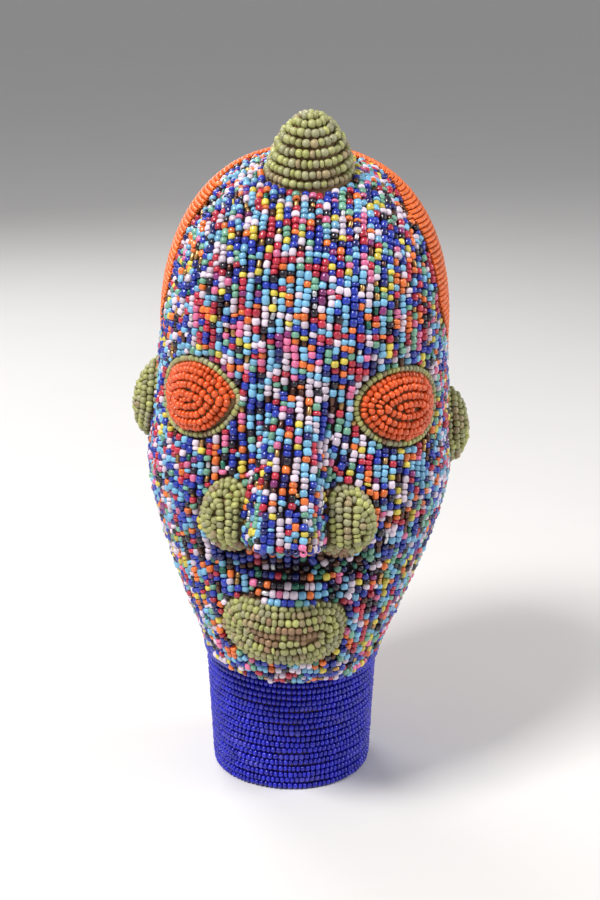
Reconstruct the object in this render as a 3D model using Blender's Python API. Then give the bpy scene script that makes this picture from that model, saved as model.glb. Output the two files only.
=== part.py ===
"""A beaded head on a round neck: a carved wooden core, cloth covers, stuffed pads and beadwork.

The frame has +Z up and its origin at the centre of the foot. The face looks along -Y. Lengths are in
metres. The head is modelled upright in its own frame and then leaned a little towards +X.
"""

import math

import bmesh
import bpy
import numpy as np
from mathutils import Matrix, Vector
from mathutils.bvhtree import BVHTree

MM = 0.001

# Driving dimensions, in millimetres until they are used.
NECK_FOOT_RADIUS = 37.5
NECK_TOP_RADIUS = 40.4
NECK_TOP = 58.6
NECK_SIDES = 32
FOOT_THICKNESS = 1.6
FOOT_RADIUS = 31.1
FOOT_ROUNDING = 3.0
SLEEVE_FOOT = 0.4

LARGE_BEAD = 3.6
PATCH_BEAD = 3.2
SMALL_BEAD = 2.2
NECK_BEAD = 2.9
CLOTH = 1.0
GAP = 0.5

LEAN_DEGREES = 2.3
LEAN_PIVOT = 59.0
CROWN = 291.0
DOME_FOOT = 210.0
DOME_POWER = 2.3
SECTION_POWER = 2.15

# The head below DOME_FOOT: height, half width, front depth and back depth of each level.
LEVELS = (
    (210.0, 64.5, 64.0, 76.0),
    (190.0, 66.6, 63.0, 77.0),
    (170.0, 68.4, 64.5, 75.0),
    (150.0, 69.0, 66.0, 70.0),
    (130.0, 64.8, 66.0, 63.0),
    (110.0, 58.0, 64.5, 56.0),
    (92.0, 51.0, 63.5, 50.0),
    (76.0, 44.2, 61.5, 46.0),
    (65.5, 42.0, 57.0, 43.6),
    (60.3, 41.7, 48.5, 42.4),
)

HEAD_SIDES = 26
HEAD_RINGS = 23
FRONT_CROWDING = 0.58
DOME_SHARE = 0.34
NOSE_CROWDING = 0.62
SMOOTHINGS = 4

NOSE_TOP = 204.0
NOSE_TIP = 138.0
NOSE_FOOT = 130.0
NOSE_REACH = 23.0
NOSE_BRIDGE_REACH = 5.0
NOSE_HALF_WIDTH = 17.5
BRIDGE_HALF_WIDTH = 9.5

# The face's middle line: how far it leans aside, and how far it bows at the nose's tip.
MIDDLE_SHIFT = 4.0
MIDDLE_BOW = 2.2

# Swellings and hollows of the face: side, height, half width, half height and how far out.
SWELLINGS = (
    (0.0, 95.0, 25.0, 17.0, 6.5),
    (0.0, 123.0, 27.0, 6.5, -5.0),
    (-40.0, 152.0, 17.0, 16.0, 3.2),
    (40.0, 152.0, 17.0, 16.0, 3.2),
    (-40.0, 188.0, 14.0, 15.0, -2.6),
    (40.0, 188.0, 14.0, 15.0, -2.6),
)

# Raised features: where each one is centred, which way it faces, its outline and its height.
EYE_SIDE = 44.5
EYE_LEVELS = {"left": 189.6, "right": 189.8}
EYE_SIZE = (21.8, 15.4)
EYE_HEIGHT = 9.0
EYE_TAPER = {"left": 0.55, "right": 0.2}
EYE_TILT = 8.0
EYE_EDGING = 2.9
NOSTRIL_SIDE = 26.4
NOSTRIL_LEVEL = 142.5
NOSTRIL_SIZE = (12.8, 17.6)
NOSTRIL_HEIGHT = 12.0
FRONT_SLANT = (0.5, -0.86, 0.0)
EAR_SPOT = (67.0, 2.0)
EAR_TURN = 0.22
EAR_LEVELS = {"left": 176.7, "right": 168.8}
EAR_SIZE = (13.5, 20.0)
EAR_HEIGHT = 11.5
LIPS_LEVEL = 93.2
LIPS_SIZE = (27.8, 18.0)
LIPS_DIP = 5.8
LIPS_HEIGHT = 8.5
TOPKNOT_SPOT = (-0.8, -20.5, 282.0)
TOPKNOT_FACING = (0.0, -0.30, 0.95)
TOPKNOT_SIZE = (20.0, 17.5)
TOPKNOT_HEIGHT = 27.0
LIP_ROWS_LEVEL = 114.2
LIP_ROWS_SIZE = (21.0, 4.2)

# The hairline, where the large face beads meet the small back beads: height and y of its turns.
HAIRLINE = ((289.0, 4.5), (268.0, -18.5), (234.0, -20.5), (180.0, 25.5), (60.0, 24.0))
HAIRLINE_SKEW = 0.075
BORDER_GAP = 0.6
JAW_LINE = 67.5

# The regions of the head's surface.
FACE, JAW, BACK = 0, 1, 2

# How deep each layer's outer and inner faces lie under the head's bead tops.
FACE_BEADS = (0.0, LARGE_BEAD)
HEAD_CLOTH = (LARGE_BEAD + GAP, LARGE_BEAD + GAP + CLOTH)
CORE_DEPTH = HEAD_CLOTH[1] + GAP
BACK_BEADS = (-0.4, -0.4 + SMALL_BEAD)
BACK_CLOTH = (BACK_BEADS[1] + GAP, HEAD_CLOTH[0] - GAP)
SEAT_DEPTH = HEAD_CLOTH[0] - 0.9
PAD_GAP = 0.9
HOLE_CLEARANCE = 0.9


# Curves and small numeric helpers


def clamp01(value):
    """The value held between 0 and 1."""
    return np.clip(value, 0.0, 1.0)


def ease(value):
    """A smooth step from 0 to 1."""
    t = clamp01(value)
    return t * t * (3.0 - 2.0 * t)


def bell(x, width):
    """A rounded bump of height 1, with its shoulders one width from the middle."""
    return math.exp(-0.5 * (x / width) ** 2)


def level_at(t):
    """The head's level at t, from 0 at the dome's foot to 1 at the neck, on a smooth curve."""
    rows = np.array(LEVELS)
    spot = clamp01(t) * (len(rows) - 1)
    i = min(int(spot), len(rows) - 2)
    f = spot - i
    before, a, b, after = rows[max(i - 1, 0)], rows[i], rows[i + 1], rows[min(i + 2, len(rows) - 1)]
    tangent_a = (b - before) / 2
    tangent_b = (after - a) / 2
    return (
        (2 * f**3 - 3 * f**2 + 1) * a
        + (f**3 - 2 * f**2 + f) * tangent_a
        + (3 * f**2 - 2 * f**3) * b
        + (f**3 - f**2) * tangent_b
    )


# The head's form


def face_middle(z):
    """The x of the face's middle line, which wanders a little off the head's own."""
    return -MIDDLE_SHIFT * clamp01((280.0 - z) / 130.0) - MIDDLE_BOW * bell(z - NOSE_TIP, 25.0)


def nose(x, z):
    """How far the nose stands out of the face at (x, z)."""
    down = (NOSE_TOP - z) / (NOSE_TOP - NOSE_TIP)
    reach = NOSE_BRIDGE_REACH * ease(down * 2.5) + (NOSE_REACH - NOSE_BRIDGE_REACH) * clamp01(down) ** 1.25
    reach *= ease((z - NOSE_FOOT + 3.5) / (NOSE_TIP - NOSE_FOOT + 2.5))
    half = BRIDGE_HALF_WIDTH + (NOSE_HALF_WIDTH - BRIDGE_HALF_WIDTH) * clamp01(down)
    off_middle = abs(x - face_middle(z)) / half
    return reach * (1.0 - ease((off_middle - 0.5) / 0.85))


def relief(x, z):
    """How far the face's features stand out of the plain head at (x, z), along -Y."""
    out = nose(x, z)
    for side, height, half_width, half_height, swell in SWELLINGS:
        out += swell * bell(x - face_middle(z) - side, half_width) * bell(z - height, half_height)
    return out


def head_point(turn, down):
    """A point of the head's bead tops: turn runs round from the face, down runs from crown to neck."""
    if down < DOME_SHARE:
        rise = math.cos(math.pi / 2 * down / DOME_SHARE)
        z = DOME_FOOT + (CROWN - DOME_FOOT) * rise
        spread = (1.0 - rise**DOME_POWER) ** (1.0 / DOME_POWER)
        centre = 6.0
        half = LEVELS[0][1] * spread
        front = (LEVELS[0][2] + centre) * spread - centre
        back = (LEVELS[0][3] - centre) * spread + centre
    else:
        t = (down - DOME_SHARE) / (1.0 - DOME_SHARE)
        t -= NOSE_CROWDING * math.sin(2 * math.pi * (t - 0.38)) / (2 * math.pi)
        t -= NOSE_CROWDING * math.sin(2 * math.pi * 0.38) / (2 * math.pi)
        z, half, front, back = level_at(t)
    across = math.sin(turn)
    ahead = math.cos(turn)
    power = 2.0 / SECTION_POWER
    x = half * math.copysign(abs(across) ** power, across)
    middle = (back - front) / 2
    depth = (back + front) / 2
    y = middle - depth * math.copysign(abs(ahead) ** power, ahead)
    if ahead > 0.0 and down > 0.1:
        y -= relief(x, z) * ease(ahead * 2.5)
    return Vector((x, y, z))


def hairline(x, z):
    """The y where the face's beadwork ends at (x, z)."""
    for high, low in zip(HAIRLINE, HAIRLINE[1:]):
        if z > low[0]:
            break
    share = ease((high[0] - z) / (high[0] - low[0]))
    return high[1] + (low[1] - high[1]) * share - HAIRLINE_SKEW * x


def head_form():
    """The head's surface as one open mesh with its layer directions, cut along its borders.

    It is a sphere whose points are moved onto the head, closed at the crown and open at the neck.
    """
    form = bmesh.new()
    bmesh.ops.create_uvsphere(form, u_segments=HEAD_SIDES, v_segments=HEAD_RINGS + 1, radius=1.0)
    bottom = min(form.verts, key=lambda v: v.co.z)
    bmesh.ops.delete(form, geom=[bottom], context="VERTS")
    ring_angle = math.pi / (HEAD_RINGS + 1)
    for vertex in form.verts:
        around = math.atan2(vertex.co.x, -vertex.co.y)
        turn = around - FRONT_CROWDING * math.sin(around)
        ring = math.acos(max(-1.0, min(1.0, vertex.co.z))) / ring_angle
        vertex.co = head_point(turn, round(ring) / HEAD_RINGS)
    bmesh.ops.recalc_face_normals(form, faces=form.faces)
    inward = form.verts.layers.float_vector.new("inward")
    point_inward(form, inward)
    for vertex in form.verts:
        vertex.co.y -= hairline(vertex.co.x, vertex.co.z)
    for spot, normal in (
        (Vector((0.0, 0.0, 0.0)), Vector((0.0, 1.0, 0.0))),
        (Vector((0.0, 0.0, JAW_LINE)), Vector((0.0, 0.0, 1.0))),
    ):
        everything = form.verts[:] + form.edges[:] + form.faces[:]
        bmesh.ops.bisect_plane(form, geom=everything, dist=0.05, plane_co=spot, plane_no=normal)
    bmesh.ops.triangulate(form, faces=form.faces)
    for face in form.faces:
        middle = face.calc_center_median()
        face.material_index = BACK if middle.y > 0.0 else (FACE if middle.z > JAW_LINE else JAW)
    for vertex in form.verts:
        vertex.co.y += hairline(vertex.co.x, vertex.co.z)
    return form, {v.index: v[inward].normalized() for v in numbered(form)}


def point_inward(form, inward):
    """Stores the way each layer is set in from the surface: the normals, smoothed so layers nest."""
    form.normal_update()
    ways = {v: -v.normal for v in form.verts}
    for _ in range(SMOOTHINGS):
        ways = {
            v: sum((ways[e.other_vert(v)] for e in v.link_edges), ways[v] * 2).normalized()
            for v in form.verts
        }
    for vertex, way in ways.items():
        if vertex.is_boundary:
            way = (way * Vector((1.0, 1.0, 0.0))).normalized()
        vertex[inward] = way


def numbered(mesh):
    """The mesh's vertices, with their indices made fresh."""
    mesh.verts.index_update()
    mesh.verts.ensure_lookup_table()
    return mesh.verts


# Making objects


def material(name, colour, roughness, metallic=0.0):
    """A plain material of one colour."""
    made = bpy.data.materials.new(name)
    made.use_nodes = True
    surface = made.node_tree.nodes["Principled BSDF"]
    surface.inputs["Base Color"].default_value = (*colour, 1.0)
    surface.inputs["Roughness"].default_value = roughness
    surface.inputs["Metallic"].default_value = metallic
    return made


def place(bm, name, look, collection, leaned=True):
    """Turns a mesh in millimetres into a named object in metres, leaned if it belongs to the head."""
    if leaned:
        pivot = Vector((0.0, 0.0, LEAN_PIVOT))
        turn = Matrix.Rotation(math.radians(LEAN_DEGREES), 3, "Y")
        bmesh.ops.rotate(bm, cent=pivot, matrix=turn, verts=bm.verts)
    if bm.calc_volume(signed=True) < 0.0:
        bmesh.ops.reverse_faces(bm, faces=bm.faces)
    bmesh.ops.scale(bm, vec=(MM, MM, MM), verts=bm.verts)
    bm.normal_update()
    mesh = bpy.data.meshes.new(name)
    bm.to_mesh(mesh)
    bm.free()
    mesh.shade_smooth()
    mesh.set_sharp_from_angle(angle=math.radians(50))
    mesh.materials.append(look)
    made = bpy.data.objects.new(name, mesh)
    collection.objects.link(made)
    return made


def moved_in(form, directions, depth):
    """A copy of the head's surface, moved in by depth along the layer directions."""
    copy = form.copy()
    for vertex in numbered(copy):
        vertex.co = vertex.co + directions[vertex.index] * depth
    return copy


def clear_of_border(vertex):
    """How far a point on the hairline or on the jaw line moves in, so that neighbours don't touch."""
    spot = vertex.co
    on_hairline = abs(spot.y - hairline(spot.x, spot.z)) < 0.05
    if not (on_hairline or abs(spot.z - JAW_LINE) < 0.05):
        return Vector((0.0, 0.0, 0.0))
    inside = Vector((0.0, 0.0, 0.0))
    for face in vertex.link_faces:
        inside += (face.calc_center_median() - spot) * face.calc_area()
    return inside.normalized() * BORDER_GAP


def layer(form, directions, depths, regions):
    """A closed shell between two depths under the head's surface, over the regions named."""
    outer_depth, inner_depth = depths
    shell = form.copy()
    inward = {v: directions[v.index] for v in numbered(shell)}
    dropped = [face for face in shell.faces if face.material_index not in regions]
    if dropped:
        bmesh.ops.delete(shell, geom=dropped, context="FACES")
    inward = {v: inward[v] for v in shell.verts}
    moves = {v: clear_of_border(v) if v.is_boundary else Vector() for v in shell.verts}
    for vertex, way in inward.items():
        vertex.co = vertex.co + moves[vertex] + way * outer_depth
    rim = [edge for edge in shell.edges if edge.is_boundary]
    twins = bmesh.ops.duplicate(shell, geom=shell.verts[:] + shell.edges[:] + shell.faces[:])
    inner = twins["vert_map"]
    inner_faces = [item for item in twins["geom"] if isinstance(item, bmesh.types.BMFace)]
    bmesh.ops.reverse_faces(shell, faces=inner_faces)
    for vertex, way in inward.items():
        inner[vertex].co = vertex.co + way * (inner_depth - outer_depth)
    for edge in rim:
        a, b = edge.verts
        shell.faces.new((a, b, inner[b], inner[a]))
    for face in shell.faces:
        face.material_index = 0
    bmesh.ops.recalc_face_normals(shell, faces=shell.faces)
    return shell


def cut(target, cutters):
    """Takes each cutter's shape out of the target."""
    for cutter in cutters:
        tool = target.modifiers.new("hole_" + cutter.name, "BOOLEAN")
        tool.operation = "DIFFERENCE"
        tool.solver = "EXACT"
        tool.object = cutter


# Raised features, each a domed patch laid on the head


class Patch:
    """A domed patch: its outline round a centre, its height, and the way it faces."""

    def __init__(self, name, seat, centre, facing, outline, height, fullness=2.2, tilt=0.0):
        self.name = name
        self.seat = seat
        self.outline = outline
        self.height = height
        self.fullness = fullness
        self.out = Vector(facing).normalized()
        level = Vector((0.0, 0.0, 1.0)).cross(self.out)
        self.right = level.normalized() if level.length > 0.2 else Vector((1.0, 0.0, 0.0))
        self.up = self.out.cross(self.right)
        self.right.rotate(Matrix.Rotation(math.radians(tilt), 3, self.out))
        self.up.rotate(Matrix.Rotation(math.radians(tilt), 3, self.out))
        self.centre = Vector(centre)

    def on_seat(self, across, up):
        """The point of the seat under this place on the patch."""
        start = self.centre + self.right * across + self.up * up + self.out * 60.0
        hit = self.seat.ray_cast(start, -self.out)[0]
        return hit if hit is not None else self.seat.find_nearest(start - self.out * 60.0)[0]

    def point(self, angle, share, margin, rise):
        """The point at a share of the way out to the outline, grown by margin, and rise above the seat."""
        reach = self.outline(angle) + margin
        return self.on_seat(
            reach * share * math.cos(angle), reach * share * math.sin(angle)
        ) + self.out * rise

    def dome(self, share, height):
        """The height of the dome at a share of the way out."""
        return height * (1.0 - clamp01(share) ** self.fullness) ** (1.0 / self.fullness)

    def solid(self, margin, top, bottom, sides=18, rings=8, shell=None):
        """A closed solid from a sphere: its upper half lies at top and its lower half at bottom."""
        body = bmesh.new()
        bmesh.ops.create_uvsphere(body, u_segments=sides, v_segments=rings, radius=1.0)
        for vertex in body.verts:
            angle = math.atan2(vertex.co.y, vertex.co.x)
            share = math.hypot(vertex.co.x, vertex.co.y)
            upper = vertex.co.z > -1e-6
            inset = 0.0 if upper or shell is None else shell
            rise = top(share) if upper else bottom(share)
            vertex.co = self.point(angle, share, margin - inset, rise)
        bmesh.ops.recalc_face_normals(body, faces=body.faces)
        return body

    def pad(self, skin):
        """The stuffed pad inside the patch's beadwork."""
        crown = self.height - skin - PAD_GAP
        inset = skin + PAD_GAP
        return self.solid(-inset, lambda s: self.dome(s, crown), lambda s: 0.0, sides=14, rings=6)

    def beadwork(self, skin):
        """The beadwork over the pad, a bowl that is as thick as its beads."""
        crown = self.height
        inner = self.height - skin
        return self.solid(
            0.0,
            lambda s: self.dome(s, crown) + 0.8 * (1.0 - clamp01(s) ** 8),
            lambda s: self.dome(s, inner),
            shell=skin,
        )

    def slab(self, margin, top, bottom, sides=24):
        """A straight-sided block of the patch's outline, between two heights above the seat."""
        body = bmesh.new()
        rings = 6
        bmesh.ops.create_uvsphere(body, u_segments=sides, v_segments=rings, radius=1.0)
        wall = math.sin(math.pi / 3)
        for vertex in body.verts:
            angle = math.atan2(vertex.co.y, vertex.co.x)
            share = min(1.0, math.hypot(vertex.co.x, vertex.co.y) / wall)
            rise = (top + bottom) / 2
            if abs(vertex.co.z) > 0.1:
                rise = top if vertex.co.z > 0.0 else bottom
            vertex.co = self.point(angle, share, margin, rise)
        bmesh.ops.recalc_face_normals(body, faces=body.faces)
        return body

    def edging(self, bead, away):
        """One ring of beads round the patch's foot, as a plain tube."""
        steps = 24
        turns = [2 * math.pi * i / steps for i in range(steps)]
        ring = [self.point(a, 1.0, away + bead / 2, bead / 2) for a in turns]
        tube = bmesh.new()
        loops = []
        for i, middle in enumerate(ring):
            along = (ring[(i + 1) % steps] - ring[i - 1]).normalized()
            side = along.cross(self.out).normalized()
            top = side.cross(along)
            loop = []
            for k in range(6):
                around = math.pi / 3 * (k + 0.5)
                offset = side * math.cos(around) + top * math.sin(around)
                loop.append(tube.verts.new(middle + offset * bead / 2))
            loops.append(loop)
        for i, loop in enumerate(loops):
            following = loops[(i + 1) % steps]
            for k in range(6):
                tube.faces.new((loop[k], loop[(k + 1) % 6], following[(k + 1) % 6], following[k]))
        bmesh.ops.recalc_face_normals(tube, faces=tube.faces)
        return tube


def oval(half_width, half_height, power=2.0, taper=0.0):
    """A rounded outline, which narrows to a blunt point towards the side that taper is signed for."""

    def outline(angle):
        c, s = math.cos(angle), math.sin(angle)
        full = power - abs(taper) * clamp01(c * math.copysign(1.0, taper))
        return (abs(c / half_width) ** full + abs(s / half_height) ** full) ** (-1.0 / full)

    return outline


def half_round(half_width, half_height, flat_side):
    """A D outline, whose straight side is towards flat_side."""

    def outline(angle):
        c, s = math.cos(angle), math.sin(angle)
        full = 1.0 / math.hypot(c / half_width, s / half_height)
        if c * flat_side > 0.01:
            full = min(full, half_width * 0.72 / abs(c))
        return full

    return outline


def bean(half_width, half_height, dip):
    """A mouth's outline: a wide oval with full ends, whose upper edge dips flat between two lobes."""

    def outline(angle):
        c, s = math.cos(angle), math.sin(angle)
        wide = (abs(c / half_width) ** 2.6 + abs(s / half_height) ** 2.6) ** (-1.0 / 2.6)
        if s > 0.0:
            wide -= dip * ease((0.95 - abs(c)) / 0.60)
        return wide

    return outline


# Neck parts


def neck_radius(z):
    """The neck's outer radius at height z."""
    return NECK_FOOT_RADIUS + (NECK_TOP_RADIUS - NECK_FOOT_RADIUS) * z / NECK_TOP


def neck_sleeve(outer_inset, inner_inset, foot, foot_rounding):
    """A tapered sleeve round the neck, rounded at its foot, its top edge leaned with the head."""
    turns = (0.0, 0.6, 1.1, math.pi / 2) if foot_rounding > 0.0 else (0.0,)
    levels = [foot + foot_rounding * (1.0 - math.cos(a)) for a in turns]
    levels += [NECK_TOP * 0.5, NECK_TOP]
    sleeve = bmesh.new()
    loops = []
    for inset, heights in ((outer_inset, levels), (inner_inset, levels[::-1])):
        for z in heights:
            bend = math.acos(clamp01(1.0 - (z - foot) / foot_rounding)) if foot_rounding > 0.0 else 0.0
            tuck = foot_rounding * (1.0 - math.sin(bend))
            radius = neck_radius(z) - inset - tuck
            loops.append([neck_vertex(sleeve, radius, z, k) for k in range(NECK_SIDES)])
    for i, loop in enumerate(loops):
        following = loops[(i + 1) % len(loops)]
        for k in range(NECK_SIDES):
            n = (k + 1) % NECK_SIDES
            sleeve.faces.new((loop[k], loop[n], following[n], following[k]))
    bmesh.ops.recalc_face_normals(sleeve, faces=sleeve.faces)
    return sleeve


def neck_vertex(mesh, radius, z, k):
    """One corner of a neck ring; the top ring leans with the head."""
    angle = 2 * math.pi * k / NECK_SIDES
    x = radius * math.cos(angle)
    drop = x * math.tan(math.radians(LEAN_DEGREES)) if z > NECK_TOP - 0.01 else 0.0
    return mesh.verts.new((x, radius * math.sin(angle), z - drop))


def foot_disc():
    """The felt disc under the neck."""
    disc = bmesh.new()
    bmesh.ops.create_cone(
        disc, cap_ends=True, segments=NECK_SIDES, radius1=FOOT_RADIUS, radius2=FOOT_RADIUS,
        depth=FOOT_THICKNESS,
    )
    bmesh.ops.translate(disc, vec=(0.0, 0.0, FOOT_THICKNESS / 2), verts=disc.verts)
    return disc


def core(form, directions):
    """The carved head and neck, one piece of wood."""
    wood = moved_in(form, directions, CORE_DEPTH)
    for face in wood.faces:
        face.material_index = 0
    pivot = Vector((0.0, 0.0, LEAN_PIVOT))
    turn = Matrix.Rotation(math.radians(LEAN_DEGREES), 3, "Y")
    bmesh.ops.rotate(wood, cent=pivot, matrix=turn, verts=wood.verts)
    inset = NECK_BEAD + CLOTH + 2 * GAP
    for foot in (False, True):
        rim = [edge for edge in wood.edges if edge.is_boundary]
        grown = bmesh.ops.extrude_edge_only(wood, edges=rim)["geom"]
        for vertex in (item for item in grown if isinstance(item, bmesh.types.BMVert)):
            angle = math.atan2(vertex.co.y, vertex.co.x)
            z = FOOT_THICKNESS + GAP if foot else vertex.co.z
            radius = neck_radius(z) - inset
            vertex.co = Vector((radius * math.cos(angle), radius * math.sin(angle), z))
    bmesh.ops.holes_fill(wood, edges=[edge for edge in wood.edges if edge.is_boundary])
    bmesh.ops.recalc_face_normals(wood, faces=wood.faces)
    return wood


def face_patches(seat, orange, green):
    """Every raised feature: its patch, its beads' look and the bead size of any edging round it."""
    found = []
    for side, sign in (("left", -1.0), ("right", 1.0)):
        slant = (sign * FRONT_SLANT[0], FRONT_SLANT[1], FRONT_SLANT[2])
        eye = Patch(
            side + "_eye", seat, (face_middle(190.0) + sign * EYE_SIDE, -46.0, EYE_LEVELS[side]), slant,
            oval(*EYE_SIZE, power=2.2, taper=-sign * EYE_TAPER[side]), EYE_HEIGHT, tilt=-EYE_TILT * sign)
        nostril_x = face_middle(NOSTRIL_LEVEL) + sign * NOSTRIL_SIDE
        nostril = Patch(
            side + "_nostril", seat, (nostril_x, -66.0, NOSTRIL_LEVEL), slant,
            half_round(*NOSTRIL_SIZE, -sign), NOSTRIL_HEIGHT)
        ear = Patch(
            side + "_ear", seat, (sign * EAR_SPOT[0], EAR_SPOT[1], EAR_LEVELS[side]), (sign, -EAR_TURN, 0.0),
            oval(*EAR_SIZE, power=1.7), EAR_HEIGHT, fullness=1.9)
        found += [(eye, orange, EYE_EDGING), (nostril, green, 0.0), (ear, green, 0.0)]
    lips = Patch("lips", seat, (face_middle(LIPS_LEVEL), -72.0, LIPS_LEVEL), (0.0, -1.0, 0.0),
                 bean(*LIPS_SIZE, LIPS_DIP), LIPS_HEIGHT, fullness=2.4)
    topknot = Patch("topknot", seat, TOPKNOT_SPOT, TOPKNOT_FACING, oval(*TOPKNOT_SIZE), TOPKNOT_HEIGHT,
                    fullness=1.75)
    return found + [(lips, green, 0.0), (topknot, green, 0.0)]


def clear_scene():
    """Empties the file's startup scene."""
    for thing in list(bpy.data.objects):
        bpy.data.objects.remove(thing, do_unlink=True)


def main():
    clear_scene()
    head = bpy.data.collections.new("beaded_head")
    tools = bpy.data.collections.new("cutters")
    for collection in (head, tools):
        bpy.context.scene.collection.children.link(collection)

    wood = material("carved_wood", (0.22, 0.12, 0.06), 0.7)
    dark_cloth = material("dark_cloth", (0.035, 0.012, 0.015), 0.95)
    tan_cloth = material("tan_cloth", (0.42, 0.28, 0.14), 0.95)
    mixed = material("mixed_beads", (0.25, 0.30, 0.55), 0.25)
    orange = material("orange_beads", (0.90, 0.14, 0.02), 0.3)
    blue = material("blue_beads", (0.015, 0.018, 0.42), 0.25)
    green = material("green_beads", (0.42, 0.46, 0.12), 0.35)

    form, directions = head_form()

    layers = {}
    for name, depths, regions, look in (
        ("face_beadwork", FACE_BEADS, (FACE,), mixed),
        ("jaw_strings", FACE_BEADS, (JAW,), mixed),
        ("back_beadwork", BACK_BEADS, (BACK,), orange),
        ("back_panel_cloth", BACK_CLOTH, (BACK,), tan_cloth),
        ("head_cloth", HEAD_CLOTH, (FACE, JAW, BACK), dark_cloth),
    ):
        layers[name] = place(layer(form, directions, depths, regions), name, look, head)
    place(core(form, directions), "wood_core", wood, head, leaned=False)

    seat_mesh = moved_in(form, directions, SEAT_DEPTH)
    seat = BVHTree.FromBMesh(seat_mesh)
    holes = []
    for patch, look, edge in face_patches(seat, orange, green):
        place(patch.pad(PATCH_BEAD), patch.name + "_pad", tan_cloth, head)
        place(patch.beadwork(PATCH_BEAD), patch.name + "_beadwork", look, head)
        room = HOLE_CLEARANCE
        if edge:
            place(patch.edging(edge, GAP), patch.name + "_edging", green, head)
            room += edge + GAP
        holes.append(place(patch.slab(room, 14.0, -3.0), patch.name + "_hole", dark_cloth, tools))
    rows = Patch("lip_rows", seat, (face_middle(LIP_ROWS_LEVEL), -70.0, LIP_ROWS_LEVEL), (0.0, -1.0, 0.0),
                 oval(*LIP_ROWS_SIZE, power=4.0), LARGE_BEAD)
    place(rows.slab(0.0, LARGE_BEAD, 0.0), "lip_rows", mixed, head)
    holes.append(place(rows.slab(HOLE_CLEARANCE, 14.0, -3.0), "lip_rows_hole", dark_cloth, tools))
    for hole in holes:
        hole.hide_render = True
        hole.display_type = "WIRE"
    cut(layers["face_beadwork"], holes)

    place(neck_sleeve(0.0, NECK_BEAD, SLEEVE_FOOT, FOOT_ROUNDING),
          "neck_beadwork", blue, head, leaned=False)
    place(neck_sleeve(NECK_BEAD + GAP, NECK_BEAD + GAP + CLOTH, FOOT_THICKNESS + GAP, 0.0),
          "neck_cloth", tan_cloth, head, leaned=False)
    place(foot_disc(), "base_disc", dark_cloth, head, leaned=False)
    for mesh in (form, seat_mesh):
        mesh.free()


main()
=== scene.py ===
"""A beaded head on a neck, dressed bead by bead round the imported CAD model.

The head's form is worked out here in millimetres and upright, as the CAD source does, and then leaned
and turned into metres. Every bead is a real barrel with a hole, laid along the string it hangs on.
"""

import math

import bpy
import numpy as np
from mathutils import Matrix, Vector
from mathutils.bvhtree import BVHTree
from mathutils.kdtree import KDTree


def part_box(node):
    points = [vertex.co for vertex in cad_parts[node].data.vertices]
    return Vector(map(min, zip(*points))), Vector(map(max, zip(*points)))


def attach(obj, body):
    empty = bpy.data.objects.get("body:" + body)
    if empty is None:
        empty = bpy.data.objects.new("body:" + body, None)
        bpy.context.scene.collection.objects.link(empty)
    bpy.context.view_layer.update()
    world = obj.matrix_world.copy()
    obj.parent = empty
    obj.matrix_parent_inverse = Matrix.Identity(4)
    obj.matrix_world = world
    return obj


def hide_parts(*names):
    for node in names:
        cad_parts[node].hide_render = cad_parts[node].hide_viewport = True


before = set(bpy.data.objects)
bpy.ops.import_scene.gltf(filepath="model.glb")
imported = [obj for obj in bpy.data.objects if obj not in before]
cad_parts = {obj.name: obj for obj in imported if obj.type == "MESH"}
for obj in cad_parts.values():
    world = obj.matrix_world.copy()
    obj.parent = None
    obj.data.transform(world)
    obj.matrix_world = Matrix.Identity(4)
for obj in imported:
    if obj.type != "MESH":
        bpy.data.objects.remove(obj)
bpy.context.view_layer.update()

MM = 0.001
BODY = "root"
SEED = 11

# The head's form, as in the CAD source.
LEAN_DEGREES = 2.3
LEAN_PIVOT = 59.0
CROWN = 291.0
DOME_FOOT = 210.0
DOME_POWER = 2.3
SECTION_POWER = 2.15
DOME_SHARE = 0.34
NOSE_CROWDING = 0.62
LEVELS = (
    (210.0, 64.5, 64.0, 76.0),
    (190.0, 66.6, 63.0, 77.0),
    (170.0, 68.4, 64.5, 75.0),
    (150.0, 69.0, 66.0, 70.0),
    (130.0, 64.8, 66.0, 63.0),
    (110.0, 58.0, 64.5, 56.0),
    (92.0, 51.0, 63.5, 50.0),
    (76.0, 44.2, 61.5, 46.0),
    (65.5, 42.0, 57.0, 43.6),
    (60.3, 41.7, 48.5, 42.4),
)
NOSE_TOP = 204.0
NOSE_TIP = 138.0
NOSE_FOOT = 130.0
NOSE_REACH = 23.0
NOSE_BRIDGE_REACH = 5.0
NOSE_HALF_WIDTH = 17.5
BRIDGE_HALF_WIDTH = 9.5
HAIRLINE = ((289.0, 4.5), (268.0, -18.5), (234.0, -20.5), (180.0, 25.5), (60.0, 24.0))
HAIRLINE_SKEW = 0.075
SEAT_DEPTH = 3.2
MIDDLE_SHIFT = 4.0
MIDDLE_BOW = 2.2
SWELLINGS = (
    (0.0, 95.0, 25.0, 17.0, 6.5),
    (0.0, 123.0, 27.0, 6.5, -5.0),
    (-40.0, 152.0, 17.0, 16.0, 3.2),
    (40.0, 152.0, 17.0, 16.0, 3.2),
    (-40.0, 188.0, 14.0, 15.0, -2.6),
    (40.0, 188.0, 14.0, 15.0, -2.6),
)

# The neck, as in the CAD source.
NECK_FOOT_RADIUS = 37.5
NECK_TOP_RADIUS = 40.4
NECK_TOP = 58.6

# Beadwork: how far apart the strings lie, and each kind of bead's radius.
FACE_PITCH = 3.58
FACE_RADIUS = 1.70
BACK_PITCH = 2.353
BACK_RADIUS = 1.15
NECK_PITCH = 3.09
NECK_RADIUS = 1.54
EDGING_RADIUS = 1.42
CLOTH_THICKNESS = 1.0
CORE_DEPTH = 6.0

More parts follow.
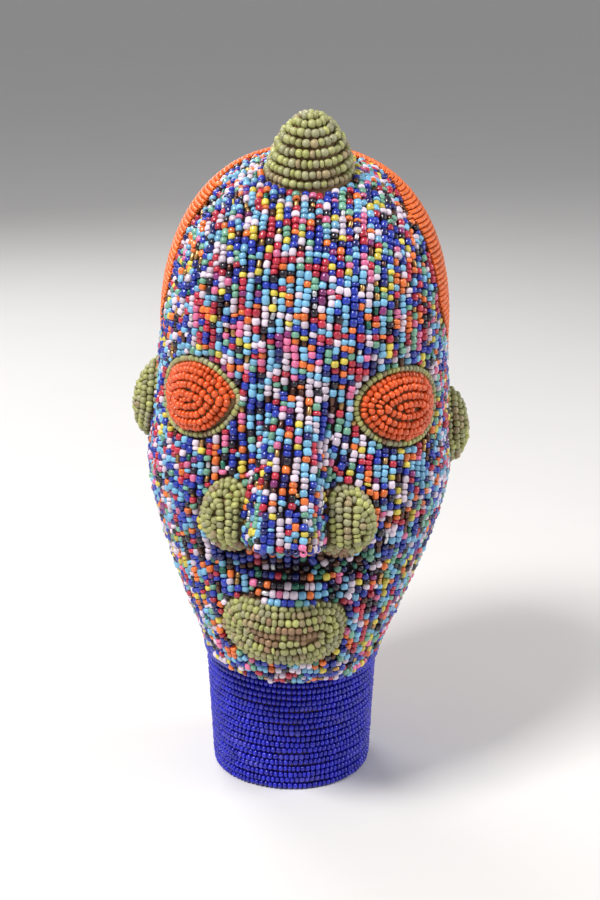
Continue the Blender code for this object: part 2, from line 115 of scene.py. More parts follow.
# The level rows above the lips: each one's height, and how far it reaches from the face's middle.
LIP_ROWS = ((106.6, 12.5), (110.2, 15.0), (113.8, 17.0), (117.4, 17.5))
LIP_ROWS_SHIFT = 2.2

# The narrowest bare gap between beads, centre to centre, that gets a bead of its own.
LEAST_GAP = 2.45

# Each kind of string: its beads' mean length, the spread of that, their radius and the gap between them.
FACE_BEADS = (2.62, 0.5, FACE_RADIUS, 0.16)
JAW_BEADS = (2.62, 0.5, FACE_RADIUS, 0.12)
LIP_BEADS = (2.9, 0.45, 1.75, 0.12)
BACK_BEADS = (1.95, 0.22, BACK_RADIUS, 0.14)
NECK_BEADS = (2.2, 0.26, NECK_RADIUS, 0.08)
EDGING_BEADS = (2.3, 0.4, EDGING_RADIUS, 0.2)

# Each raised feature's coil: how far apart its rows lie, its beads' mean length and the spread of that.
COILS = {"eye": (3.85, 2.55, 0.4), "nostril": (4.05, 2.8, 0.45), "ear": (3.7, 2.7, 0.4),
         "lips": (4.0, 2.7, 0.5), "topknot": (4.45, 2.9, 0.5)}

# Either side of the face: its sign, its eye's height and taper, and its ear's height.
SIDES = (("left", -1.0, 189.6, 0.55, 176.7), ("right", 1.0, 189.8, 0.2, 168.8))

# How finely the head's surface is sampled: along its height in millimetres, and round it. The samples
# of a level start and end at the back. FRONT is the face's half, and ROUND_BACK starts at the nose.
LEVEL_STEP = 0.7
TURNS = 481
FRONT = slice(TURNS // 4 + 1, TURNS - TURNS // 4 - 1)
ROUND_BACK = np.append(np.arange(TURNS // 2, TURNS - 1), np.arange(TURNS // 2))
SOFTENINGS = 24
NEIGHBOURS = np.array((1.0, 2.0, 3.0, 2.0, 1.0)) / 9.0


# Numeric helpers


def clamp01(value):
    """The value held between 0 and 1."""
    return np.clip(value, 0.0, 1.0)


def ease(value):
    """A smooth step from 0 to 1."""
    t = clamp01(value)
    return t * t * (3.0 - 2.0 * t)


def bell(x, width):
    """A rounded bump of height 1, with its shoulders one width from the middle."""
    return np.exp(-0.5 * (x / width) ** 2)


def unit(vectors):
    """The vectors at length 1."""
    return vectors / np.maximum(np.linalg.norm(vectors, axis=-1, keepdims=True), 1e-9)


def circle(count):
    """Angles evenly round a circle."""
    return 2 * math.pi * np.arange(count) / count


def run_of(points):
    """The distance along a line of points, from its start to each of them."""
    steps = np.linalg.norm(np.diff(points, axis=0), axis=1)
    return np.concatenate([[0.0], np.cumsum(steps)])


def along(places, run, values):
    """Values given at each distance of run, at the places asked for."""
    return np.stack([np.interp(places, run, values[:, k]) for k in range(values.shape[1])], axis=1)


def leaned(points):
    """Points of the upright head in millimetres, leaned with it and in metres."""
    c, s = math.cos(math.radians(LEAN_DEGREES)), math.sin(math.radians(LEAN_DEGREES))
    x, y, z = points[:, 0], points[:, 1], points[:, 2] - LEAN_PIVOT
    return np.stack([x * c + z * s, y, LEAN_PIVOT - x * s + z * c], axis=1) * MM


# The head's form


def level_at(t):
    """The head's level at t, from 0 at the dome's foot to 1 at the neck, on a smooth curve."""
    rows = np.array(LEVELS)
    spot = clamp01(t) * (len(rows) - 1)
    i = min(int(spot), len(rows) - 2)
    f = spot - i
    before, a, b, after = rows[max(i - 1, 0)], rows[i], rows[i + 1], rows[min(i + 2, len(rows) - 1)]
    return (
        (2 * f**3 - 3 * f**2 + 1) * a
        + (f**3 - 2 * f**2 + f) * (b - before) / 2
        + (3 * f**2 - 2 * f**3) * b
        + (f**3 - f**2) * (after - a) / 2
    )


def face_middle(z):
    """The x of the face's middle line, which wanders a little off the head's own."""
    return -MIDDLE_SHIFT * clamp01((280.0 - z) / 130.0) - MIDDLE_BOW * bell(z - NOSE_TIP, 25.0)


def relief(x, z):
    """How far the face's features stand out of the plain head at (x, z), along -Y."""
    down = (NOSE_TOP - z) / (NOSE_TOP - NOSE_TIP)
    out = NOSE_BRIDGE_REACH * ease(down * 2.5) + (NOSE_REACH - NOSE_BRIDGE_REACH) * clamp01(down) ** 1.25
    out *= ease((z - NOSE_FOOT + 3.5) / (NOSE_TIP - NOSE_FOOT + 2.5))
    half = BRIDGE_HALF_WIDTH + (NOSE_HALF_WIDTH - BRIDGE_HALF_WIDTH) * clamp01(down)
    across = x - face_middle(z)
    out = out * (1.0 - ease((abs(across) / half - 0.5) / 0.85))
    for side, height, half_width, half_height, swell in SWELLINGS:
        out = out + swell * bell(across - side, half_width) * bell(z - height, half_height)
    return out


def ring(down, turns, features=True):
    """Points round the head's bead tops at one level: down runs from crown to neck."""
    if down < DOME_SHARE:
        rise = math.cos(math.pi / 2 * down / DOME_SHARE)
        z = DOME_FOOT + (CROWN - DOME_FOOT) * rise
        spread = (1.0 - rise**DOME_POWER) ** (1.0 / DOME_POWER)
        half = LEVELS[0][1] * spread
        front = (LEVELS[0][2] + 6.0) * spread - 6.0
        back = (LEVELS[0][3] - 6.0) * spread + 6.0
    else:
        t = (down - DOME_SHARE) / (1.0 - DOME_SHARE)
        t -= NOSE_CROWDING * math.sin(2 * math.pi * (t - 0.38)) / (2 * math.pi)
        t -= NOSE_CROWDING * math.sin(2 * math.pi * 0.38) / (2 * math.pi)
        z, half, front, back = level_at(t)
    across, ahead = np.sin(turns), np.cos(turns)
    power = 2.0 / SECTION_POWER
    x = half * np.sign(across) * abs(across) ** power
    y = (back - front) / 2 - (back + front) / 2 * np.sign(ahead) * abs(ahead) ** power
    if features and down > 0.1:
        y = y - relief(x, z) * ease(ahead * 2.5)
    return np.stack([x, y, np.full_like(x, z)], axis=1)


def hairline(x, z):
    """The y where the face's beadwork ends at (x, z)."""
    for high, low in zip(HAIRLINE, HAIRLINE[1:]):
        if z > low[0]:
            break
    share = ease((high[0] - z) / (high[0] - low[0]))
    return high[1] + (low[1] - high[1]) * share - HAIRLINE_SKEW * x


def behind_hairline(tops):
    """How far each point of one level lies behind the face's beadwork."""
    return tops[:, 1] - hairline(tops[:, 0], tops[0, 2])


class Head:
    """The head's surface of bead tops, sampled finely, with its outward directions."""

    def __init__(self):
        rough = np.linspace(0.004, 1.0, 500)
        few = np.linspace(-math.pi, math.pi, 25)
        rings = np.array([ring(down, few, False) for down in rough])
        run = np.append(0.0, np.cumsum(np.linalg.norm(np.diff(rings, axis=0), axis=2).mean(axis=1)))
        self.downs = np.interp(np.arange(0.0, run[-1], LEVEL_STEP), run, rough)
        self.turns = np.linspace(-math.pi, math.pi, TURNS)
        self.points, self.plain = (np.array([ring(down, self.turns, featured) for down in self.downs])
                                   for featured in (True, False))
        self.heights = self.points[:, 0, 2]
        self.outs = self.directions()
        self.count = len(self.downs)

    def directions(self):
        """The outward directions, softened so that sharp turns of the surface are eased."""
        p = self.points[:, :-1]
        outs = unit(np.cross(np.gradient(p, axis=0), np.roll(p, -1, axis=1) - np.roll(p, 1, axis=1)))
        for _ in range(SOFTENINGS):
            outs = (outs * 2 + (np.roll(outs, 1, axis=1) + np.roll(outs, -1, axis=1))) / 4
            padded = np.concatenate([outs[:1], outs, outs[-1:]])
            outs = unit((outs * 2 + padded[:-2] + padded[2:]) / 4)
        return np.concatenate([outs, outs[:, :1]], axis=1)

    def section(self, j):
        """Level j: distances round it from the face's middle, plain ones, and both hairlines."""
        points = self.points[j]
        run, plain = run_of(points), run_of(self.plain[j])
        turn = np.interp(face_middle(self.heights[j]), points[FRONT, 0], self.turns[FRONT])
        run -= np.interp(turn, self.turns, run)
        plain -= np.interp(turn, self.turns, plain)
        behind = behind_hairline(points)
        middle = int(np.searchsorted(self.turns, turn))
        right = middle + int(np.argmax(behind[middle:] > 0.0))
        left = middle - int(np.argmax(behind[middle::-1] > 0.0))
        edges = []
        for inner, outer in ((left + 1, left), (right - 1, right)):
            share = behind[inner] / (behind[inner] - behind[outer])
            edges.append(run[inner] + (run[outer] - run[inner]) * share)
        return run, plain, *edges

    def at(self, level):
        """The points and outward directions of a level that may lie between two samples."""
        j = min(int(level), self.count - 2)
        f = level - j
        points, outs = (grid[j] * (1 - f) + grid[j + 1] * f for grid in (self.points, self.outs))
        return points, unit(outs)

    def level_of(self, z):
        """The level at a height below the dome's foot."""
        return float(np.interp(-z, -self.heights, np.arange(self.count)))


# Colours and materials


def linear(colour):
    """An sRGB colour of 0 to 255 as the linear one that a shader takes."""
    c = np.array(colour, float) / 255.0
    return np.where(c <= 0.04045, c / 12.92, ((c + 0.055) / 1.055) ** 2.4)


def new_material(name, inputs):
    """A material whose Principled shader has these values, with its node tree and that shader."""
    made = bpy.data.materials.new(name)
    made.use_nodes = True
    surface = made.node_tree.nodes["Principled BSDF"]
    for key, value in inputs.items():
        surface.inputs[key].default_value = value
    return made, made.node_tree, surface


def add_node(tree, kind, inputs=None, **settings):
    """A shader node with its settings, its plain values and its links."""
    node = tree.nodes.new("ShaderNode" + kind)
    for key, value in settings.items():
        setattr(node, key, value)
    for key, value in (inputs or {}).items():
        if isinstance(value, bpy.types.NodeSocket):
            tree.links.new(value, node.inputs[key])
        else:
            node.inputs[key].default_value = value
    return node


def add_noise(tree, space, scale, detail):
    """A noise in the surface's own coordinates."""
    spot = add_node(tree, "TexCoord").outputs[space]
    return add_node(tree, "TexNoise", {"Vector": spot, "Scale": scale, "Detail": detail}).outputs["Fac"]


def add_tones(tree, surface, factor, dark, light):
    """A surface's colour, from dark to light by a factor."""
    tone = add_node(tree, "Mix", {"Factor": factor, 6: (*dark, 1.0), 7: (*light, 1.0)},
                    data_type="RGBA")
    tree.links.new(tone.outputs[2], surface.inputs["Base Color"])


def add_bump(tree, surface, height, strength, distance):
    """A surface's fine relief."""
    bump = add_node(tree, "Bump", {"Height": height, "Strength": strength, "Distance": distance})
    tree.links.new(bump.outputs["Normal"], surface.inputs["Normal"])


def glass(name, colour, roughness, metallic, coat):
    """Bead glass of one colour, with the small unevenness of drawn and tumbled glass."""
    made, tree, surface = new_material(name, {
        "Base Color": (*colour, 1.0), "Roughness": roughness, "Metallic": metallic, "Coat Weight": coat,
        "Coat Roughness": 0.08, "Specular IOR Level": 0.5})
    add_bump(tree, surface, add_noise(tree, "Object", 620.0, 2.0), 0.35, 0.00025)
    return made


class Palette:
    """Bead colours, each in a few shades, with how often each one turns up.

    A row is a name, a colour and a share, then for lined glass how metallic and how narrow it is.
    """

    DARK = 265

    def __init__(self, prefix, rows, shades, roughness, coat):
        rows = [(*row, 0.0, 0.0)[:5] for row in rows]
        self.looks, self.shades = [], len(shades)
        for name, colour, _, metallic, _ in rows:
            for k, shade in enumerate(shades):
                tone = np.clip(linear(colour) * shade, 0.0, 1.0)
                dulled = roughness + (0.06 if metallic else 0.0)
                self.looks.append(glass(f"{prefix}_{name}_{k + 1}", tone, dulled, metallic, coat))
        self.dark = np.array([k for k, row in enumerate(rows) if sum(row[1]) < self.DARK])
        self.shares = np.array([row[2] for row in rows]) / sum(row[2] for row in rows)
        self.narrow = np.array([row[4] for row in rows])

    def draw(self, rng, count, repeat):
        """Hues and looks for a string of beads, each repeating the one before it with chance repeat."""
        hues = rng.choice(len(self.shares), count, p=self.shares)
        again = rng.random(count) < repeat + 0.3 * (self.narrow[hues] > 0)
        for i in range(1, count):
            if again[i]:
                hues[i] = hues[i - 1]
        return hues, hues * self.shades + rng.integers(0, self.shades, count)

    def painted_shade_under_nose(self, rng, looks, spots):
        """The looks, with mostly dark beads in the hollow under the nose: painted shade standing in for the
        nose's shadow.
        """
        # depth weighs the painted shade: how strongly dark beads stand in for the nose's shadow at each spot
        depth = bell(spots[:, 0] - face_middle(124.0) - 5.0, 24.0) * bell(spots[:, 2] - 123.5, 6.5)
        swapped = (rng.random(len(spots)) < 0.9 * depth) & (spots[:, 1] < -40.0)
        return np.where(swapped, rng.choice(self.dark, len(spots)) * self.shades, looks)

    def browned(self, rng, looks, chance):
        """The looks, with the last colour's shades swapped in by chance."""
        swapped = rng.random(len(looks)) < chance
        return np.where(swapped, len(self.looks) - 1 - rng.integers(0, 3, len(looks)), looks)


def cloth(name, dark, light, pitch):
    """Plain-woven cloth: over-and-under threads pitch metres apart, uneven in colour."""
    made, tree, surface = new_material(name, {"Roughness": 0.92, "Sheen Weight": 0.25,
                                              "Sheen Roughness": 0.5})
    spot = add_node(tree, "TexCoord").outputs["UV"]
    threads = {"Vector": spot, "Scale": 0.314 / pitch, "Distortion": 0.6, "Detail": 1.0, "Detail Scale": 0.4}
    waves = [add_node(tree, "TexWave", threads, bands_direction=way).outputs["Fac"] for way in "XY"]
    weave = add_node(tree, "Math", {0: waves[0], 1: waves[1]}, operation="MULTIPLY").outputs[0]
    patchy = add_noise(tree, "UV", 160.0, 4.0)
    mixed = add_node(tree, "Math", {0: weave, 1: patchy}, operation="ADD").outputs[0]
    ramp = add_node(tree, "MapRange", {"Value": mixed, "From Min": 0.35, "From Max": 1.35})
    add_tones(tree, surface, ramp.outputs["Result"], linear(dark), linear(light))
    add_bump(tree, surface, weave, 0.8, 0.0002)
    return made


def wood():
    """Carved softwood with grain along the head's height."""
    made, tree, surface = new_material("carved_wood", {"Roughness": 0.7})
    spot = add_node(tree, "TexCoord").outputs["Object"]
    squeezed = add_node(tree, "Mapping", {"Vector": spot, "Scale": (60.0, 60.0, 7.0)})
    grain = add_node(tree, "TexNoise", {"Vector": squeezed.outputs[0], "Scale": 2.4, "Detail": 8.0})
    add_tones(tree, surface, grain.outputs["Fac"], linear((86, 54, 30)), linear((168, 122, 78)))
    add_bump(tree, surface, grain.outputs["Fac"], 0.5, 0.0005)
    return made


# Making objects


def new_object(name, points, faces, looks, indices=None, uvs=None):
    """A smooth mesh object from quads or triangles, each with its material and corner UVs."""
    mesh = bpy.data.meshes.new(name)
    faces = np.asarray(faces)
    mesh.vertices.add(len(points))
    mesh.vertices.foreach_set("co", np.asarray(points, np.float32).ravel())
    mesh.loops.add(faces.size)
    mesh.loops.foreach_set("vertex_index", faces.astype(np.int32).ravel())
    mesh.polygons.add(len(faces))
    mesh.polygons.foreach_set("loop_start", np.arange(0, faces.size, faces.shape[1], dtype=np.int32))
    for look in looks:
        mesh.materials.append(look)
    if indices is not None:
        mesh.polygons.foreach_set("material_index", np.asarray(indices, np.int32))
    if uvs is not None:
        layer = mesh.uv_layers.new(name="weave")
        layer.data.foreach_set("uv", np.asarray(uvs, np.float32)[faces.ravel()].ravel())
    mesh.update(calc_edges=True)
    mesh.validate()
    mesh.shade_smooth()
    made = bpy.data.objects.new(name, mesh)
    bpy.context.scene.collection.objects.link(made)
    return made


def settle(piece, node):
    """Rides the piece on the body and hides the CAD node that it stands for."""
    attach(piece, BODY)
    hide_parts(node)
    return piece


def grid_faces(rows, columns, closed):
    """Quads between the rows of a grid of points; closed joins each row's end to its start."""
    j, i = np.meshgrid(np.arange(rows - 1), np.arange(columns if closed else columns - 1), indexing="ij")
    k = (i + 1) % columns
    quads = np.stack([j * columns + i, j * columns + k, (j + 1) * columns + k, (j + 1) * columns + i], -1)
    return quads.reshape(-1, 4)


def outward(points, faces):
    """The faces, turned round if the closed form they make is inside out."""
    a, b, c = (points[faces[:, k]] for k in range(3))
    volume = (a * np.cross(b, c)).sum()
    if faces.shape[1] == 4:
        volume += (a * np.cross(c, points[faces[:, 3]])).sum()
    return faces if volume > 0 else faces[:, ::-1]


def shell(name, outer, inner, look, closed, place=leaned):
    """A closed sheet of cloth between two grids of points, one over the other."""
    rows, columns = outer.shape[:2]
    count = rows * columns
    sides = grid_faces(rows, columns, closed)
    faces = [sides, sides[:, ::-1] + count]
    index = np.arange(count).reshape(rows, columns)
    rims = [index[0], index[-1, ::-1]]
    if closed:
        rims = [np.append(rim, rim[0]) for rim in rims]
    else:
        rims += [index[::-1, 0], index[:, -1]]
    for rim in rims:
        a, b = rim[:-1], rim[1:]
        faces.append(np.stack([b, a, a + count, b + count], axis=1))
    points = np.concatenate([outer.reshape(-1, 3), inner.reshape(-1, 3)])
    faces = outward(points, np.concatenate(faces))
    across = np.linalg.norm(np.diff(outer, axis=1, append=outer[:, :1]), axis=2)
    rise = np.linalg.norm(np.diff(outer, axis=0, prepend=outer[:1]), axis=2)
    u = np.cumsum(across.mean(axis=0))[None].repeat(rows, axis=0)
    v = np.cumsum(rise.mean(axis=1))[:, None].repeat(columns, axis=1)
    uv = np.stack([u, v], axis=-1).reshape(-1, 2) * MM
    return new_object(name, place(points), faces, [look], uvs=np.concatenate([uv, uv]))


def capped(grid, tips):
    """The closed form through rings of points, and a tip beyond either end, as points and triangles."""
    rows, columns = grid.shape[:2]
    points = np.concatenate([grid.reshape(-1, 3), tips])
    sides = grid_faces(rows, columns, True)
    i = np.arange(columns)
    k, last, top = (i + 1) % columns, (rows - 1) * columns, np.full(columns, rows * columns)
    caps = [np.stack([k, i, top], axis=1), np.stack([last + i, last + k, top + 1], axis=1)]
    return points, outward(points, np.concatenate([sides[:, [0, 1, 2]], sides[:, [0, 2, 3]], *caps]))


def lathe(profile, sides):
    """A closed profile of (along, out) pairs turned round: points (along, out, across) and quads."""
    along_it, out = np.array(profile).T[:, :, None]
    angle = circle(sides)
    points = np.stack([along_it + 0.0 * angle, out * np.cos(angle), out * np.sin(angle)], axis=-1)
    points = points.reshape(-1, 3)
    return points, outward(points, grid_faces(len(profile) + 1, sides, True) % len(points))


# Beads

BIG_PROFILE = ((-0.50, 0.34), (-0.49, 0.62), (-0.41, 0.85), (-0.24, 0.97), (0.0, 1.0),
               (0.24, 0.97), (0.41, 0.85), (0.49, 0.62), (0.50, 0.34))
ROUND_PROFILE = ((-0.50, 0.28), (-0.47, 0.50), (-0.37, 0.76), (-0.20, 0.94), (0.0, 1.0),
                 (0.20, 0.94), (0.37, 0.76), (0.47, 0.50), (0.50, 0.28))
SMALL_PROFILE = ((-0.50, 0.32), (-0.43, 0.68), (-0.20, 0.96), (0.20, 0.96), (0.43, 0.68), (0.50, 0.32))


class Beads:
    """Beads that go in one piece: where each lies, its string's direction, its size and its look."""

    laid = []

    def __init__(self):
        self.parts = []

    def add(self, *found):
        """Adds beads: their spots, ways, outs, lengths, radii and looks."""
        self.parts.append(found)

    def string(self, path, outs, sizes, palette, repeat, rng):
        """Adds a string of beads from one palette."""
        found = strung(path, outs, sizes, rng)
        self.add(*found, palette.draw(rng, len(found[0]), repeat)[1])

    def build(self, name, slot, node, palette, profile, sides, rng, tilt=0.06, place=leaned):
        """Makes the piece of every bead added, each tipped a little on its thread."""
        spots, ways, outs, lengths, radii, chosen = (np.concatenate(x) for x in zip(*self.parts))
        Beads.laid.append(spots)
        ways = unit(ways + rng.normal(0.0, tilt, ways.shape))
        outs = unit(outs - ways * (outs * ways).sum(axis=1, keepdims=True))
        shape, quads = lathe(profile, sides)
        oval = 1.0 + rng.normal(0.0, 0.02, len(spots))
        points = spots[:, None]
        for k, (axis, size) in enumerate(((ways, lengths), (outs, radii / oval),
                                          (np.cross(ways, outs), radii * oval))):
            points = points + axis[:, None] * (shape[None, :, k:k + 1] * size[:, None, None])
        faces = (quads[None] + (np.arange(len(spots)) * len(shape))[:, None, None]).reshape(-1, 4)
        used, chosen = np.unique(chosen, return_inverse=True)
        indices = np.repeat(chosen, len(quads))
        looks = [palette.looks[u] for u in used]
        settle(new_object(name, place(points.reshape(-1, 3)), faces, looks, indices), node)


def strung(path, outs, sizes, rng, kinds=None):
    """Beads along one string, of a mean length, spread, radius and gap: spots to radii."""
    mean, spread, radius, gap = sizes
    run = run_of(path)
    count = int(run[-1] / (mean * 0.55)) + 2
    lengths = np.clip(rng.normal(mean, spread, count), mean * 0.58, mean * 1.5)
    if kinds is not None:
        lengths = np.where(kinds[:count] > 0, lengths * 1.12, lengths)
    ends = np.cumsum(lengths + gap) - 0.5
    middles = ends - lengths / 2
    keep = ends < run[-1] + 1.0
    middles, lengths = middles[keep], lengths[keep]
    ahead = along(np.minimum(middles + 0.6, run[-1]), run, path)
    behind = along(np.maximum(middles - 0.6, 0.0), run, path)
    radii = radius * np.clip(rng.normal(1.0, 0.045, len(middles)), 0.86, 1.12)
    return along(middles, run, path), unit(ahead - behind), unit(along(middles, run, outs)), lengths, radii


def mixed_string(path, outs, sizes, mixed, rng, repeat=0.18, most=None):
    """A string of mixed beads: spots, ways, outs, lengths, radii and looks."""
    hues, looks = mixed.draw(rng, most or int(run_of(path)[-1] / (sizes[0] * 0.5)) + 8, repeat)
    *found, radii = strung(path, outs, sizes, rng, mixed.narrow[hues])
    narrow = mixed.narrow[hues][:len(radii)]
    return [*found, np.where(narrow > 0, radii * narrow, radii), looks[:len(radii)]]


def stretches(wanted, least):
    """The starts and ends of the unbroken stretches of a line that are wanted and long enough."""
    edges = np.flatnonzero(np.diff(np.concatenate([[False], wanted, [False]]).astype(int)))
    return [(a, b) for a, b in zip(edges[::2], edges[1::2]) if b - a >= least]


def barest(places, room, least):
    """Places for single beads, the barest first, until no room is over least: indices and rooms."""
    picked = []
    while room.max() > least:
        k = int(room.argmax())
        picked.append((k, room[k]))
        room = np.minimum(room, np.linalg.norm(places - places[k], axis=1))
    return picked


# The face's strings


def neck_line(y):
    """The height where the head's beadwork meets the neck's: low under the chin, higher behind."""
    return 60.7 + 9.6 * ease((y + 58.0) / 36.0)


def string_end(x):
    """The height where the face's strings end, above the rows that run round under the jaw."""
    return 66.6 + 10.0 * bell(x + 3.0, 24.0)


def pressure(spots, widths, left, right):
    """How wide each gap is against the room that the strings beside it need, borders included."""
    wanted = np.concatenate([[0.62 * widths[0]], (widths[1:] + widths[:-1]) / 2, [0.62 * widths[-1]]])
    return np.diff(np.concatenate([[left], spots, [right]])) / (wanted * FACE_PITCH + 0.05)


def face_strings(head, rng):
    """Each string's path over the face: rows of (level, distance from the face's middle).

    The strings are carried down from the crown level by level. Over the forehead they hang straight and
    new ones join at the hairline, and below the eyes they follow the face's outline in to the chin. A
    string takes its room gradually, so its neighbours part round its end and leave a small gap there.
    A live string is a column: its distance, its share of its full room, whether that grows, its number.
    """
    sections = [head.section(j) for j in range(head.count)]
    first, last = int(np.searchsorted(head.downs, 0.04)), int(head.level_of(61.0))
    left, right = sections[first][2:]
    count = max(3, round((right - left) / FACE_PITCH))
    live = np.array([left + (right - left) * (np.arange(count) + 0.5) / count,
                     np.ones(count), np.ones(count), np.arange(count)])
    strings = [[] for _ in range(count)]

    def joined(k, spot, width):
        """The live strings with a new one at place k."""
        strings.append([])
        return np.insert(live, k, (spot, width, 1.0, len(strings) - 1.0), axis=1)

    for j in range(first, last):
        run, plain, left, right = sections[j]
        if j > first:
            old_run, old_plain, *old_edges = sections[j - 1]
            q = np.interp(live[0], old_run, old_plain)
            straight = np.interp(live[0], old_run, head.plain[j - 1][:, 0])
            straight = np.interp(straight, head.plain[j][FRONT, 0], plain[FRONT])
            ends = np.interp(old_edges, old_run, old_plain)
            grown = np.interp((left, right), run, plain) - ends
            share = np.where(q > 0.0, q / ends[1], q / ends[0])
            followed = q + np.where(q > 0.0, grown[1], grown[0]) * clamp01(share)
            hang = ease((head.heights[j] - 165.0) / 45.0)
            q = followed * (1.0 - hang) + (straight * 0.6 + q * 0.4) * hang
            live[0] = np.interp(q, plain, run)
        live = live[:, (live[0] > left + 0.30 * FACE_PITCH) & (live[0] < right - 0.30 * FACE_PITCH)]
        if live[0, 0] - left > 1.15 * FACE_PITCH:
            live = joined(0, left + 0.5 * FACE_PITCH, 1.0)
        if right - live[0, -1] > 1.15 * FACE_PITCH:
            live = joined(live.shape[1], right - 0.5 * FACE_PITCH, 1.0)
        live[1] = clamp01(live[1] + 0.22 * live[2])
        for _ in range(3):
            squeeze = pressure(live[0], live[1], left, right)
            live[0] = live[0] + 0.22 * FACE_PITCH * (squeeze[1:] - squeeze[:-1])
        live = live[:, (live[2] > 0.0) | (live[1] > 0.0)]
        staying = np.flatnonzero(live[2] > 0.0)
        squeeze = pressure(live[0, staying], np.ones(len(staying)), left, right)
        soft = np.convolve(np.pad(squeeze, 2, mode="edge"), NEIGHBOURS, "valid")
        if soft.min() < 0.87 + rng.uniform(-0.02, 0.02):
            k = int(soft.argmin())
            nearby = range(max(k - 2, 1), min(k + 2, len(staying) - 1))
            if nearby:
                weakest = min(nearby, key=lambda i: squeeze[i] + squeeze[i + 1])
                live[2, staying[weakest]] = -1.0
        elif soft.max() > 1.05 + rng.uniform(-0.02, 0.02):
            k = int(soft.argmax())
            widest = max(range(max(k - 2, 1), min(k + 3, len(staying))), key=lambda i: squeeze[i])
            a, b = staying[widest - 1], staying[widest]
            live = joined(b, (live[0, a] + live[0, b]) / 2, 0.05)
        live = live[:, np.argsort(live[0], kind="stable")]
        for spot, width, grows, number in live.T:
            if grows > 0.0 and width > 0.85:
                strings[int(number)].append((j, spot))
    return [s for s in strings if len(s) > 14], sections


def face_paths(head, strings, sections):
    """The strings as lines of points with outward directions, on the bead tops."""
    paths = []
    for string in strings:
        spots, outs = (np.array([along([distance], sections[j][0], grid[j])[0] for j, distance in string])
                       for grid in (head.points, head.outs))
        for _ in range(3):
            spots[1:-1] = (spots[:-2] + spots[1:-1] * 2 + spots[2:]) / 4
        kept = (spots[:, 2] > string_end(spots[:, 0])) & (spots[:, 2] > neck_line(spots[:, 1]) + 2.4)
        if kept.sum() > 8:
            paths.append((spots[kept], unit(outs[kept])))
    return paths


# Raised features


def oval(half_width, half_height, power=2.0, taper=0.0):
    """A rounded outline, which narrows to a blunt point towards the side that taper is signed for."""

    def outline(angle):
        c, s = math.cos(angle), math.sin(angle)
        full = power - abs(taper) * clamp01(c * math.copysign(1.0, taper))
        return (abs(c / half_width) ** full + abs(s / half_height) ** full) ** (-1.0 / full)

    return outline


def half_round(half_width, half_height, flat_side):
    """A D outline, whose straight side is towards flat_side."""

    def outline(angle):
        c, s = math.cos(angle), math.sin(angle)
        full = 1.0 / math.hypot(c / half_width, s / half_height)
        if c * flat_side > 0.01:
            full = min(full, half_width * 0.72 / abs(c))
        return full

    return outline


def bean(half_width, half_height, dip):
    """A mouth's outline: a wide oval with full ends, whose upper edge dips in the middle."""

    def outline(angle):
        c, s = math.cos(angle), math.sin(angle)
        wide = (abs(c / half_width) ** 2.6 + abs(s / half_height) ** 2.6) ** (-1.0 / 2.6)
        if s > 0.0:
            wide -= dip * float(ease((0.95 - abs(c)) / 0.60))
        return wide

    return outline


def turned(vector, axis, degrees):
    """The vector turned round an axis."""
    a = math.radians(degrees)
    return vector * math.cos(a) + np.cross(axis, vector) * math.sin(a)


